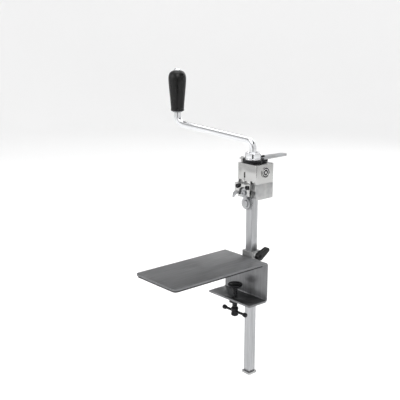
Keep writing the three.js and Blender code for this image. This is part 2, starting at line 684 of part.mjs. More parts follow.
/** Return spring round the post, between the slide and the top of its pocket. */
function knifeSpring() {
  const turns = 5;
  const coil = 2.88;
  const bottom = SLIDE_TOP + 0.9;
  const top = 171;
  class Helix extends THREE.Curve {
    getPoint(t, target = new THREE.Vector3()) {
      const angle = t * turns * 2 * Math.PI;
      const z = bottom + t * (top - bottom);
      return target.set(POST_X + coil * Math.cos(angle), POST_Y + coil * Math.sin(angle), z);
    }
  }
  return wire(new Helix(), 0.27, turns * 12, 5);
}

/** Pointed spring-steel guide that reaches forward and down from the holder. */
function rimGuide() {
  return prism((shape) => {
    shape.moveTo(0, 0);
    shape.lineTo(9, 0);
    shape.lineTo(9, 6);
    shape.lineTo(2.5, 15.5);
    shape.lineTo(0, 13);
    shape.closePath();
  }, 1.4);
}

function buildKnife(column) {
  const slide = addGroup(column);
  addPiece(slide, 'knife_slide', knifeSlide(), SATIN);
  addPiece(slide, 'knife_holder', knifeHolder(), BRIGHT);
  holderScrewPlaces().forEach((y, i) => {
    const screw = socketScrew(2, 7.3, 4.2, 4).rotateY(-Math.PI / 2).translate(-22.6, y, 143);
    addPiece(slide, `holder_screw_${i + 1}`, screw, DARK_STEEL);
  });
  const disc = turned([
    [3.3, 0],
    [KNIFE_RADIUS - 3, 0],
    [KNIFE_RADIUS, 0.4],
    [KNIFE_RADIUS - 2, 1.5],
    [3.3, 1.5],
    [3.3, 0],
  ], 28);
  disc.rotateY(-Math.PI / 2).translate(KNIFE_BACK, KNIFE_Y, KNIFE_Z);
  addPiece(slide, 'knife_disc', disc, TOOL_STEEL);
  const screw = socketScrew(3, 4.2, 5, 3).rotateY(-Math.PI / 2);
  addPiece(slide, 'knife_screw', screw.translate(KNIFE_BACK - 1.8, KNIFE_Y, KNIFE_Z), TOOL_STEEL);
  addPiece(slide, 'knife_spring', knifeSpring(), TOOL_STEEL);
  const guide = addPiece(slide, 'rim_guide', rimGuide(), SATIN);
  guide.position.set(-22.7, 14.2, 131);
  guide.rotation.set(0, THREE.MathUtils.degToRad(-38), Math.PI / 2);
}

// ---------------------------------------------------------------- cam ring and lever
/** Ring under the collar with a lug for the lever and a ramp that lifts the slide's post. */
function leverRing() {
  const ringTop = 192;
  const body = ring(13.3, RING_RADIUS, 185.7, ringTop, 28);
  const lug = cut(block(10, 31, -9, 9, 185.7, 190.3), rod('z', 13.8, 180, 200, [0, 0], 28));
  const steps = 8;
  const start = THREE.MathUtils.degToRad(106);
  const turn = LEVER_SWEEP / steps;
  const ramps = [];
  for (let i = 0; i < steps; i += 1) {
    const height = ((i + 1) * SLIDE_LIFT) / steps;
    const [near, far] = [start - i * turn, start - (i + 1) * turn];
    const sector = prism((shape) => {
      shape.moveTo(15.5 * Math.cos(near), 15.5 * Math.sin(near));
      shape.lineTo(15.5 * Math.cos(far), 15.5 * Math.sin(far));
      shape.lineTo(17.2 * Math.cos(far), 17.2 * Math.sin(far));
      shape.lineTo(17.2 * Math.cos(near), 17.2 * Math.sin(near));
      shape.closePath();
    }, height + 1);
    ramps.push(sector.translate(0, 0, ringTop - 1));
  }
  const tools = LEVER_SCREWS.map((x) => rod('z', 1.6 + GAP, 180, 200, [x, 0], 16));
  return cut(join(body, lug, ...ramps), ...tools);
}

/** Flat lever with a round tip, wider at the ring. */
function knifeLever() {
  const plate = prism((shape) => {
    shape.moveTo(18.5, -11);
    shape.lineTo(34, -11);
    shape.lineTo(LEVER_TIP - 9, -8.6);
    shape.absarc(LEVER_TIP - 8.6, 0, 8.6, -Math.PI / 2, Math.PI / 2);
    shape.lineTo(34, 11);
    shape.lineTo(18.5, 11);
    shape.closePath();
  }, 3.5, 12);
  plate.translate(0, 0, 190.6);
  return cut(plate, ...LEVER_SCREWS.map((x) => rod('z', 1.6 + GAP, 180, 200, [x, 0], 16)));
}

function buildKnifeLever(column) {
  addPiece(column, 'lever_ring', leverRing(), DARK_STEEL);
  addPiece(column, 'knife_lever', knifeLever(), SATIN);
  LEVER_SCREWS.forEach((x, i) => {
    const screw = socketScrew(1.6, 7, 2.8, 2.4).translate(x, 0, 194.4);
    addPiece(column, `lever_screw_${i + 1}`, screw, DARK_STEEL);
  });
}

// ---------------------------------------------------------------- crank and grip
/** Bent rod whose lower end is turned down to the gear shaft and upper end to the grip spindle. */
function crankRod() {
  const reach = new THREE.Vector3(Math.cos(ARM_ANGLE), Math.sin(ARM_ANGLE), 0).multiplyScalar(ARM_LENGTH);
  const corners = [
    new THREE.Vector3(0, 0, 187),
    new THREE.Vector3(0, 0, LOWER_CORNER_Z),
    reach.clone().setZ(UPPER_CORNER_Z),
    reach.clone().setZ(GRIP_BOTTOM - 2),
  ];
  const bent = wire(bentPath(corners, CRANK_BEND), CRANK_RADIUS, 42, 12);
  const shaft = rod('z', SPINDLE_RADIUS, 138.8, 188);
  const spindle = rod('z', 4.5, GRIP_BOTTOM - 3, GRIP_BOTTOM + GRIP_LENGTH + 1.6, [reach.x, reach.y], 20);
  return join(bent, shaft, spindle);
}

/** Handle that swells towards its domed top, with a bore for the spindle. */
function grip() {
  const profile = [[4.8, 0], [11.5, 0], [13, 1.5], [13.2, 10], [14.2, 25], [15.8, 40], [17, 55]];
  profile.push([GRIP_RADIUS, 63], [16.6, 69], [14.6, 73.5], [11, 76.3], [8, GRIP_LENGTH]);
  profile.push([4.8, GRIP_LENGTH], [4.8, 0]);
  return turned(profile, 24);
}

function buildCrank(column) {
  addPiece(column, 'crank_rod', crankRod(), CHROME);
  const x = ARM_LENGTH * Math.cos(ARM_ANGLE);
  const y = ARM_LENGTH * Math.sin(ARM_ANGLE);
  const handle = addGroup(column, x, y, GRIP_BOTTOM);
  addPiece(handle, 'grip', grip(), BLACK_PLASTIC);
  addPiece(handle, 'grip_washer', ring(4.8, 9.5, -1.6, -GAP), TOOL_STEEL);
  const capTop = CAP_TOP - GRIP_BOTTOM;
  const from = GRIP_LENGTH + GAP;
  const cap = turned([[4.8, from], [7, from], [7, from + 1.6], [4.5, capTop - 0.8], [0, capTop],
    [0, capTop - 1.9], [4.8, capTop - 1.9], [4.8, from]], 24);
  addPiece(handle, 'grip_cap_nut', cap, CHROME);
}

// ---------------------------------------------------------------- whole object
const opener = new THREE.Group();
buildBase(opener);
buildBarLock(opener);
const column = addGroup(opener, BAR_X);
buildColumn(column);
buildHead(column);
buildGearTrain(column);
buildKnife(column);
buildKnifeLever(column);
buildCrank(column);

export default opener;
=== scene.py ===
"""Finished model of a bench can opener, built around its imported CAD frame."""

import json
import math

import bmesh
import bpy
import numpy as np
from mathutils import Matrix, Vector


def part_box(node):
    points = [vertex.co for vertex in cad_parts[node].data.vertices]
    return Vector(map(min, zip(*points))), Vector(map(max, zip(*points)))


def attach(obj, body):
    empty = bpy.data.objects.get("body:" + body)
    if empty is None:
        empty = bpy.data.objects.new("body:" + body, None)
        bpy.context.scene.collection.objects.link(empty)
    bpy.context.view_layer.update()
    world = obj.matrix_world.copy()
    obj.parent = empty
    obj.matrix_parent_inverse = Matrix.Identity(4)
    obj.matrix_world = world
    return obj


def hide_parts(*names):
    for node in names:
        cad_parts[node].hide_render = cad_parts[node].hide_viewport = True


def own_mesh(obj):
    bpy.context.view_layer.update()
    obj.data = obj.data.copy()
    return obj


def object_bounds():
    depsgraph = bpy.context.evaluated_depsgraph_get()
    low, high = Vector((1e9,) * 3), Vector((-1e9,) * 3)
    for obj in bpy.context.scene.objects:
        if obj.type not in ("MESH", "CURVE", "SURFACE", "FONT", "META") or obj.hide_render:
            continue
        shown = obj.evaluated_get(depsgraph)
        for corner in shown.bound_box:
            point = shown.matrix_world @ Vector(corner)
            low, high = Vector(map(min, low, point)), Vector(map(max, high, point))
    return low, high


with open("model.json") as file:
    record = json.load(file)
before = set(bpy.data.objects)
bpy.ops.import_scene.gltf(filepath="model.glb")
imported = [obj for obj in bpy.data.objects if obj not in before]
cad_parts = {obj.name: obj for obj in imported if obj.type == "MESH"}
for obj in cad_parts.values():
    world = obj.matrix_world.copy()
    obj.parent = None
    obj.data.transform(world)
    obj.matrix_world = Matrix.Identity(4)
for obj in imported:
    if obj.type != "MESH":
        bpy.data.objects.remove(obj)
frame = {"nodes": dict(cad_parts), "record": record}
CAD_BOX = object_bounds()

bl_info = {
    "name": "Bench can opener",
    "version": (1, 0, 0),
    "blender": (4, 5, 0),
    "location": "View3D > Sidebar > Can opener",
    "description": "Builds the finished pieces of a clamp-on bench can opener",
    "category": "Object",
}

MM = 0.001
BLACK = (0.0, 0.0, 0.0, 1.0)
ROD_RADIUS = 6.25  # mm, of the crank rod
FLOOR_GAP = 4 * MM  # room left under the lowest pose
CLEARANCE = 0.3  # mm left between pieces in the frame
BODIES = frame["record"]["behaviour"]["bodies"]
BODY_OF = {node: body for body, nodes in BODIES.items() for node in nodes}
SLOT_OF = {row["node"]: row["material_slot"] for row in frame["record"]["subparts"]}
JOINTS = {joint["name"]: joint for joint in frame["record"]["behaviour"]["joints"]}


# ------------------------------------------------------------------ colour and nodes
def linear(hex_colour, alpha=1.0):
    """sRGB hex to a linear colour by the standard piecewise curve."""
    parts = [int(hex_colour[i : i + 2], 16) / 255 for i in (0, 2, 4)]
    curve = [c / 12.92 if c <= 0.04045 else ((c + 0.055) / 1.055) ** 2.4 for c in parts]
    return (*curve, alpha)


def add_node(tree, kind, settings=(), links=()):
    """Adds a node, sets its properties or input sockets, and links its inputs."""
    node = tree.nodes.new(kind)
    for key, value in dict(settings).items():
        if isinstance(key, str) and hasattr(node, key):
            setattr(node, key, value)
        else:
            node.inputs[key].default_value = value
    for key, source in dict(links).items():
        tree.links.new(source, node.inputs[key])
    return node


def shader(name):
    """A new material with its tree, shader and object coordinates."""
    material = bpy.data.materials.new(name)
    material.use_nodes = True
    tree = material.node_tree
    tree.nodes.clear()
    surface_shader = add_node(tree, "ShaderNodeBsdfPrincipled")
    output = add_node(tree, "ShaderNodeOutputMaterial")
    tree.links.new(surface_shader.outputs[0], output.inputs[0])
    place = add_node(tree, "ShaderNodeTexCoord").outputs["Object"]
    return material, tree, surface_shader, place


def spread(tree, value, low, high):
    """Maps 0..1 to low..high."""
    mapped = add_node(tree, "ShaderNodeMapRange", {3: low, 4: high}, {0: value})
    return mapped.outputs[0]


def blend_colours(tree, factor, first, second):
    """Mixes two colours by a factor."""
    mix = add_node(tree, "ShaderNodeMix", {"data_type": "RGBA", 6: first, 7: second}, {0: factor})
    return mix.outputs[2]


def noise(tree, place, size, detail=3.0, stretch=(1.0, 1.0, 1.0), roughness=0.5):
    """Noise whose grains are size metres across, longer where stretch is below 1."""
    mapping = add_node(tree, "ShaderNodeMapping", {"Scale": stretch}, {"Vector": place})
    grain = add_node(
        tree,
        "ShaderNodeTexNoise",
        {"Scale": 1 / size, "Detail": detail, "Roughness": roughness},
        {"Vector": mapping.outputs[0]},
    )
    return grain.outputs[0]


def bump(tree, height, depth, strength=1.0, under=None):
    """Relief of a depth in metres, over another relief where one is given."""
    links = {"Height": height}
    if under is not None:
        links["Normal"] = under
    node = add_node(tree, "ShaderNodeBump", {"Distance": depth, "Strength": strength}, links)
    return node.outputs[0]


def edge_mask(tree, radius):
    """1 on worn convex edges and 0 on flats, from how far a softened normal turns away."""
    soft = add_node(tree, "ShaderNodeBevel", {"samples": 4, "Radius": radius})
    plain = add_node(tree, "ShaderNodeNewGeometry")
    dot = add_node(
        tree,
        "ShaderNodeVectorMath",
        {"operation": "DOT_PRODUCT"},
        {0: soft.outputs[0], 1: plain.outputs["Normal"]},
    )
    mask = add_node(
        tree, "ShaderNodeMapRange", {1: 0.995, 2: 0.9, 3: 0.0, 4: 1.0}, {0: dot.outputs["Value"]},
    )
    return mask.outputs[0]


def worn_edges(tree, colour, light, radius):
    """A colour lightened towards another on edges rounder than radius metres."""
    edge = blend_colours(tree, edge_mask(tree, radius), BLACK, light)
    settings = {"data_type": "RGBA", "blend_type": "LIGHTEN", 0: 1.0}
    return add_node(tree, "ShaderNodeMix", settings, {6: colour, 7: edge}).outputs[2]


def brush_lines(tree, place, size, axis, stretch, detail):
    """Noise drawn out along an axis, or along another on the faces that look down that axis."""
    other = 1 if axis == 2 else 2
    along, across = (
        noise(tree, place, size, detail, tuple(stretch if i == line else 1.0 for i in range(3)), 0.6)
        for line in (axis, other)
    )
    normal = add_node(tree, "ShaderNodeTexCoord").outputs["Normal"]
    parts = add_node(tree, "ShaderNodeSeparateXYZ", {}, {0: normal})
    facing = add_node(tree, "ShaderNodeMath", {"operation": "ABSOLUTE"}, {0: parts.outputs[axis]})
    factor = add_node(tree, "ShaderNodeMapRange", {1: 0.6, 2: 0.85}, {0: facing.outputs[0]})
    mix = add_node(
        tree, "ShaderNodeMix", {"data_type": "FLOAT"}, {0: factor.outputs[0], 2: along, 3: across},
    )
    return mix.outputs[0]


# ------------------------------------------------------------------ materials
def brushed_metal(name, light, dark, axis, base_roughness, streak_mm=0.35):
    """Metal brushed along an axis: fine long scratches, cloudy handling marks, worn bright edges."""
    material, tree, surface_shader, place = shader(name)
    streaks = brush_lines(tree, place, streak_mm * MM, axis, 0.012, 4.0)
    broad = brush_lines(tree, place, 3.5 * MM, axis, 0.05, 2.0)
    clouds = noise(tree, place, 45 * MM, 3.0)
    grain = add_node(tree, "ShaderNodeMath", {"operation": "MULTIPLY"}, {0: streaks, 1: broad})
    tone = spread(tree, grain.outputs[0], 0.0, 2.6)
    colour = blend_colours(tree, tone, dark, light)
    worn = worn_edges(tree, colour, light, 0.6 * MM)
    tree.links.new(worn, surface_shader.inputs["Base Color"])
    rough = add_node(tree, "ShaderNodeMath", {"operation": "MULTIPLY_ADD", 1: 0.22}, {0: streaks})
    tree.links.new(
        spread(tree, clouds, base_roughness - 0.2, base_roughness + 0.02), rough.inputs[2],
    )
    tree.links.new(rough.outputs[0], surface_shader.inputs["Roughness"])
    surface_shader.inputs["Metallic"].default_value = 1.0
    surface_shader.inputs["Anisotropic"].default_value = 0.55
    tree.links.new(bump(tree, streaks, 0.02 * MM, 0.55), surface_shader.inputs["Normal"])
    return material


def satin_nickel(name, light, dark, base_roughness):
    """Bead-blasted, nickel-plated casting: fine even grain, faint casting waviness, bright edges."""
    material, tree, surface_shader, place = shader(name)
    grain = noise(tree, place, 0.55 * MM, 4.0, roughness=0.7)
    waves = noise(tree, place, 14 * MM, 2.0)
    colour = blend_colours(tree, spread(tree, waves, -0.3, 1.3), dark, light)
    worn = worn_edges(tree, colour, light, 0.7 * MM)
    tree.links.new(worn, surface_shader.inputs["Base Color"])
    tree.links.new(
        spread(tree, grain, base_roughness - 0.1, base_roughness + 0.14),
        surface_shader.inputs["Roughness"],
    )
    surface_shader.inputs["Metallic"].default_value = 1.0
    relief = bump(tree, waves, 0.15 * MM, 0.4)
    tree.links.new(bump(tree, grain, 0.05 * MM, 0.5, relief), surface_shader.inputs["Normal"])
    return material


def polished_plate(name, tint, base_roughness):
    """Buffed nickel or chrome: almost a mirror, with swirl haze, finger marks and slight ripple."""
    material, tree, surface_shader, place = shader(name)
    haze = noise(tree, place, 22 * MM, 4.0, roughness=0.6)
    swirl = noise(tree, place, 1.1 * MM, 3.0, (1.0, 1.0, 0.25))
    ripple = noise(tree, place, 9 * MM, 1.0)
    shade = tuple(0.86 * c for c in tint[:3]) + (1.0,)
    tree.links.new(blend_colours(tree, haze, shade, tint), surface_shader.inputs["Base Color"])
    rough = add_node(tree, "ShaderNodeMath", {"operation": "MULTIPLY_ADD", 1: 0.05}, {0: swirl})
    tree.links.new(spread(tree, haze, base_roughness, base_roughness + 0.1), rough.inputs[2])
    tree.links.new(rough.outputs[0], surface_shader.inputs["Roughness"])
    surface_shader.inputs["Metallic"].default_value = 1.0
    tree.links.new(bump(tree, ripple, 0.06 * MM, 0.25), surface_shader.inputs["Normal"])
    return material


def black_oxide_steel(name, tint, worn):
    """Chemically blackened steel: dark oiled skin, rubbed to bare metal on its edges."""
    material, tree, surface_shader, place = shader(name)
    mottle = noise(tree, place, 2.2 * MM, 4.0)
    grain = noise(tree, place, 0.4 * MM, 3.0)
    skin = blend_colours(tree, mottle, tuple(0.6 * c for c in tint[:3]) + (1.0,), tint)
    rub = add_node(
        tree, "ShaderNodeMath", {"operation": "MULTIPLY"},
        {0: edge_mask(tree, 0.45 * MM), 1: mottle},
    )
    mixed = add_node(
        tree, "ShaderNodeMix", {"data_type": "RGBA", 7: worn}, {0: rub.outputs[0], 6: skin},
    )
    tree.links.new(mixed.outputs[2], surface_shader.inputs["Base Color"])
    tree.links.new(spread(tree, grain, 0.28, 0.5), surface_shader.inputs["Roughness"])
    surface_shader.inputs["Metallic"].default_value = 0.9
    tree.links.new(bump(tree, grain, 0.03 * MM, 0.5), surface_shader.inputs["Normal"])
    return material


def sintered_bronze(name, tint):
    """Oil-soaked sintered bronze: brown-gold with dark open pores."""
    material, tree, surface_shader, place = shader(name)
    pores = noise(tree, place, 0.5 * MM, 5.0, roughness=0.75)
    dark = tuple(0.45 * c for c in tint[:3]) + (1.0,)
    tree.links.new(
        blend_colours(tree, spread(tree, pores, -0.4, 1.6), dark, tint),
        surface_shader.inputs["Base Color"],
    )
    tree.links.new(spread(tree, pores, 0.55, 0.25), surface_shader.inputs["Roughness"])
    surface_shader.inputs["Metallic"].default_value = 1.0
    tree.links.new(bump(tree, pores, 0.04 * MM, 0.5), surface_shader.inputs["Normal"])
    return material


def phenolic_moulding(name, tint):
    """Pressed black phenolic: deep gloss skin, flow haze and hairline handling scratches."""
    material, tree, surface_shader, place = shader(name)
    flow = noise(tree, place, 16 * MM, 4.0)
    scratches = noise(tree, place, 0.5 * MM, 4.0, (1.0, 1.0, 0.04), 0.7)
    peel = noise(tree, place, 1.8 * MM, 2.0)
    light = tuple(1.8 * c for c in tint[:3]) + (1.0,)
    tree.links.new(blend_colours(tree, flow, tint, light), surface_shader.inputs["Base Color"])
    rough = add_node(tree, "ShaderNodeMath", {"operation": "MULTIPLY_ADD", 1: 0.16}, {0: scratches})
    tree.links.new(spread(tree, flow, 0.12, 0.3), rough.inputs[2])
    tree.links.new(rough.outputs[0], surface_shader.inputs["Roughness"])
    surface_shader.inputs["IOR"].default_value = 1.35
    tree.links.new(bump(tree, peel, 0.05 * MM, 0.3), surface_shader.inputs["Normal"])
    return material


def moulded_rubber(name, tint):
    """Pressed rubber mat: matt, finely grained, with a little bloom."""
    material, tree, surface_shader, place = shader(name)
    grain = noise(tree, place, 0.8 * MM, 4.0, roughness=0.7)
    bloom = noise(tree, place, 30 * MM, 3.0)
    pale = tuple(2.2 * c for c in tint[:3]) + (1.0,)
    tree.links.new(blend_colours(tree, bloom, tint, pale), surface_shader.inputs["Base Color"])
    tree.links.new(spread(tree, grain, 0.7, 0.92), surface_shader.inputs["Roughness"])
    surface_shader.inputs["IOR"].default_value = 1.5
    tree.links.new(bump(tree, grain, 0.12 * MM, 0.7), surface_shader.inputs["Normal"])
    return material


def painted_studio(name, tint):
    """Matt pale studio paint."""
    material, tree, surface_shader, place = shader(name)
    mottle = noise(tree, place, 0.4, 2.0)
    shade = tuple(0.985 * c for c in tint[:3]) + (1.0,)
    tree.links.new(blend_colours(tree, mottle, shade, tint), surface_shader.inputs["Base Color"])
    surface_shader.inputs["Roughness"].default_value = 0.9
    return material


MATERIALS = {}


def look(slot):
    """The material of a record slot, made on first use."""
    colours = bpy.context.scene.can_opener_colours
    if slot in MATERIALS:
        return MATERIALS[slot]
    steel = tuple(colours.steel) + (1.0,)
    steel_dark = tuple(0.62 * c for c in colours.steel) + (1.0,)
    plate = tuple(0.46 * c for c in colours.steel) + (1.0,)
    plate_dark = tuple(0.25 * c for c in colours.steel) + (1.0,)
    nickel = tuple(colours.nickel) + (1.0,)
    black = tuple(colours.oxide) + (1.0,)
    makers = {
        "brushed_steel": lambda: brushed_metal(
            "stainless_brushed_along_x", plate, plate_dark, 0, 0.36,
        ),
        "bar_steel": lambda: brushed_metal(
            "stainless_bar_drawn_along_z", steel, steel_dark, 2, 0.34,
        ),
        "stamped_steel": lambda: brushed_metal(
            "stamped_steel_linished", steel, steel_dark, 0, 0.42, 0.25,
        ),
        "satin_nickel": lambda: satin_nickel(
            "nickel_plated_casting_blasted", nickel, steel_dark, 0.36,
        ),
        "polished_nickel": lambda: polished_plate("nickel_plated_casting_buffed", nickel, 0.07),
        "chrome": lambda: polished_plate(
            "chromium_plate_bright", tuple(colours.chrome) + (1.0,), 0.03,
        ),
        "black_oxide": lambda: black_oxide_steel("steel_black_oxide_oiled", black, steel),
        "tool_steel": lambda: brushed_metal("tool_steel_ground", steel, steel_dark, 1, 0.3, 0.2),
        "bronze": lambda: sintered_bronze("bronze_sintered_oiled", tuple(colours.bronze) + (1.0,)),
        "black_phenolic": lambda: phenolic_moulding(
            "phenolic_pressed_black", tuple(colours.grip) + (1.0,),
        ),
        "rubber": lambda: moulded_rubber("rubber_mat_pressed", tuple(colours.rubber) + (1.0,)),
    }
    MATERIALS[slot] = makers[slot]()
    return MATERIALS[slot]


# ------------------------------------------------------------------ surfaces
def finish_piece(obj, slot):
    """Puts the finish on and shades the faces smooth."""
    obj.data.materials.clear()
    obj.data.materials.append(look(slot))
    obj.data.shade_smooth()
    return obj


def surface(name, points, slot, close_rows=False, close_columns=True):
    """A grid of points (rows, columns, xyz) in metres joined by quads.

    Rows that shrink to a point close it.
    """
    rows, columns = points.shape[:2]
    i, j = np.meshgrid(
        np.arange(rows if close_rows else rows - 1),
        np.arange(columns if close_columns else columns - 1),
        indexing="ij",
    )
    below, beside = (i + 1) % rows, (j + 1) % columns
    quads = np.stack(
        [i * columns + j, i * columns + beside, below * columns + beside, below * columns + j], -1,
    )
    mesh = bpy.data.meshes.new(name)
    mesh.from_pydata(points.reshape(-1, 3).tolist(), [], quads.reshape(-1, 4).tolist())
    tidy = bmesh.new()
    tidy.from_mesh(mesh)
    bmesh.ops.remove_doubles(tidy, verts=tidy.verts, dist=1e-7)
    bmesh.ops.recalc_face_normals(tidy, faces=tidy.faces)
    if tidy.calc_volume(signed=True) < 0:
        bmesh.ops.reverse_faces(tidy, faces=tidy.faces)
    tidy.to_mesh(mesh)
    tidy.free()
    obj = bpy.data.objects.new(name, mesh)
    bpy.context.scene.collection.objects.link(obj)
    finish_piece(obj, slot)
    mesh.set_sharp_from_angle(angle=math.radians(38))
    return obj


def soften(corners, radius, steps=5):
    """Rounds each inner corner of a polyline by a parabola.

    The parabola starts and ends radius from the corner.
    """
    corners = np.asarray(corners, float)
    out = [corners[:1]]
    t = np.linspace(0, 1, steps + 1)[:, None]
    for before, corner, after in zip(corners[:-2], corners[1:-1], corners[2:]):
        back, ahead = before - corner, after - corner
        reach = min(radius, 0.45 * np.linalg.norm(back), 0.45 * np.linalg.norm(ahead))
        start = corner + back / np.linalg.norm(back) * reach
        end = corner + ahead / np.linalg.norm(ahead) * reach
        out.append((1 - t) ** 2 * start + 2 * t * (1 - t) * corner + t**2 * end)
    out.append(corners[-1:])
    return np.concatenate(out)


def turned(name, profile, centre, slot, axis=2, sides=72, softness=0.4):
    """A profile of (radius, height) in mm, its corners softened, turned about an axis through centre.

    Point = centre + radius (cos a, sin a) across the axis + height along it.
    """
    line = soften(profile, softness) * MM
    angle = np.linspace(0, 2 * np.pi, sides, endpoint=False)
    radius, height = line[:, :1], line[:, 1:]
    across = [radius * np.cos(angle), radius * np.sin(angle)]
    along = np.broadcast_to(height, across[0].shape)
    order = {
        0: [along, across[0], across[1]], 1: [across[1], along, across[0]], 2: [*across, along],
    }
    points = np.stack(order[axis], -1) + np.asarray(centre)
    closed = np.allclose(line[0], line[-1])
    return surface(name, points[:-1] if closed else points, slot, close_rows=closed)


def swept(name, path, radius, slot, sides=32):
    """A round section carried along a path: point = path + radius (normal cos a + binormal sin a).

    The normal is turned with the path's tangent from point to point, so the section never twists.
    """
    path = np.asarray(path, float)
    tangent = np.gradient(path, axis=0)
    tangent /= np.linalg.norm(tangent, axis=1, keepdims=True)
    normal = np.cross(tangent[0], [0.3, 0.9, 0.1])
    normals = []
    for direction in tangent:
        normal = normal - direction * np.dot(normal, direction)
        normal /= np.linalg.norm(normal)
        normals.append(normal)
    normals = np.array(normals)
    binormals = np.cross(tangent, normals)
    angle = np.linspace(0, 2 * np.pi, sides, endpoint=False)[None, :, None]
    size = np.broadcast_to(radius, (len(path),))[:, None, None]
    ring = normals[:, None] * np.cos(angle) + binormals[:, None] * np.sin(angle)
    return surface(name, path[:, None] + size * ring, slot)


def extruded(name, outline, heights, insets, slot, centre=(0, 0, 0)):
    """A convex outline in mm stacked along Z: each level is the outline drawn in by an inset."""
    outline = np.asarray(outline, float)
    middle = outline.mean(0)
    levels = []
    for height, inset in zip(heights, insets):
        away = outline - middle
        length = np.linalg.norm(away, axis=1, keepdims=True)
        flat = middle + away * np.clip(1 - inset / length, 0, 1)
        levels.append(np.column_stack([flat, np.full(len(flat), height)]))
    points = np.array(levels) * MM + np.asarray(centre)
    return surface(name, points, slot)


def threaded(name, radius, pitch, bottom, top, centre, slot, axis=2, sides=48):
    """A screw thread as a height field: radius falls and rises once a pitch, turned with the angle.

    radius(a, z) = crest - depth * ramp(z / pitch - a / 2 pi), with the ends drawn to the axis.
    """
    depth = 0.55 * pitch
    angle = np.linspace(0, 2 * np.pi, sides, endpoint=False)
    height = np.linspace(bottom, top, int((top - bottom) / pitch * 10) + 1)
    phase = (height[:, None] / pitch - angle[None] / (2 * np.pi)) % 1
    wave = np.clip(1.6 * np.abs(2 * phase - 1) - 0.3, 0, 1)
    ends = np.minimum(height - bottom, top - height)[:, None]
    size = radius - depth * np.maximum(wave, np.clip(1 - ends / pitch, 0, 1))
    height = np.broadcast_to(height[:, None], size.shape)
    size = np.vstack([0 * size[:1], size, 0 * size[:1]])
    height = np.vstack([height[:1], height, height[-1:]])
    across = [size * np.cos(angle), size * np.sin(angle)]
    order = {1: [across[1], height, across[0]], 2: [*across, height]}
    return surface(name, np.stack(order[axis], -1) * MM + np.asarray(centre), slot)


def dressed(node, edge, slot=None, segments=2, angle=33):
    """A machined or cast node with its sharp edges broken: merged copy plus a bevel of edge metres."""
    mesh = frame["nodes"][node].data.copy()
    tidy = bmesh.new()
    tidy.from_mesh(mesh)
    bmesh.ops.remove_doubles(tidy, verts=tidy.verts, dist=2e-6)
    bmesh.ops.dissolve_limit(
        tidy, angle_limit=math.radians(0.6), verts=tidy.verts, edges=tidy.edges,
        use_dissolve_boundaries=False,
    )
    tidy.to_mesh(mesh)
    tidy.free()
    obj = bpy.data.objects.new(f"{node}_finished", mesh)
    bpy.context.scene.collection.objects.link(obj)
    finish_piece(obj, slot or SLOT_OF[node])
    bevel = obj.modifiers.new("broken_edges", "BEVEL")
    bevel.width = edge
    bevel.segments = segments
    bevel.limit_method = "ANGLE"
    bevel.angle_limit = math.radians(angle)
    bevel.harden_normals = True
    bevel.use_clamp_overlap = True
    stand_for(obj, node)
    return obj


def stand_for(piece, *nodes):
    """Makes a piece ride on its nodes' body and hides them."""
    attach(piece, BODY_OF[nodes[0]])
    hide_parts(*nodes)


def add_on(piece, node):
    """Makes an extra piece ride with a node."""
    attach(piece, BODY_OF[node])


def box_mm(node):
    """A node's lowest and highest corners in millimetres."""
    low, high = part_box(node)
    return np.array(low) / MM, np.array(high) / MM


def joint_place(name):
    """A joint's place in metres."""
    return np.array(JOINTS[name]["pos_m"])


def rounded_square(side, radius, steps=5):
    """Outline of a square with round corners: quarter circles about four centres."""
    reach = side / 2 - radius
    quarter = np.linspace(0, np.pi / 2, steps + 1)
    points = []
    for turn, (x, y) in enumerate([(1, 1), (-1, 1), (-1, -1), (1, -1)]):
        a = quarter + turn * np.pi / 2
        points.append(
            np.column_stack([x * reach + radius * np.cos(a), y * reach + radius * np.sin(a)]),
        )
    return np.concatenate(points)


# ------------------------------------------------------------------ user settings
class OpenerSizes(bpy.types.PropertyGroup):
    """Sizes that a user may change."""

    cast_edge: bpy.props.FloatProperty(
        name="Cast edge", description="Round on the castings' edges", default=0.9 * MM, unit="LENGTH"
    )
    head_edge: bpy.props.FloatProperty(
        name="Head edge", description="Round on the head's castings", default=0.5 * MM, unit="LENGTH"
    )
    sheet_edge: bpy.props.FloatProperty(
        name="Sheet edge", description="Round on sheet and machined edges", default=0.45 * MM, unit="LENGTH"
    )
    fine_edge: bpy.props.FloatProperty(
        name="Fine edge", description="Round on screws and gear teeth", default=0.12 * MM, unit="LENGTH"
    )
    clamp_pitch: bpy.props.FloatProperty(
        name="Clamp thread pitch", description="Pitch of the clamp screw, in mm", default=1.5, min=0.5
    )
    crank_bend: bpy.props.FloatProperty(
        name="Crank bend", description="Bend radius of the crank rod, in mm", default=17.0
    )
    crank_low_corner: bpy.props.FloatProperty(
        name="Low corner", description="Height of the lower bend's corner, in mm", default=226.7
    )
    crank_high_corner: bpy.props.FloatProperty(
        name="High corner", description="Height of the upper bend's corner, in mm", default=251.7
    )


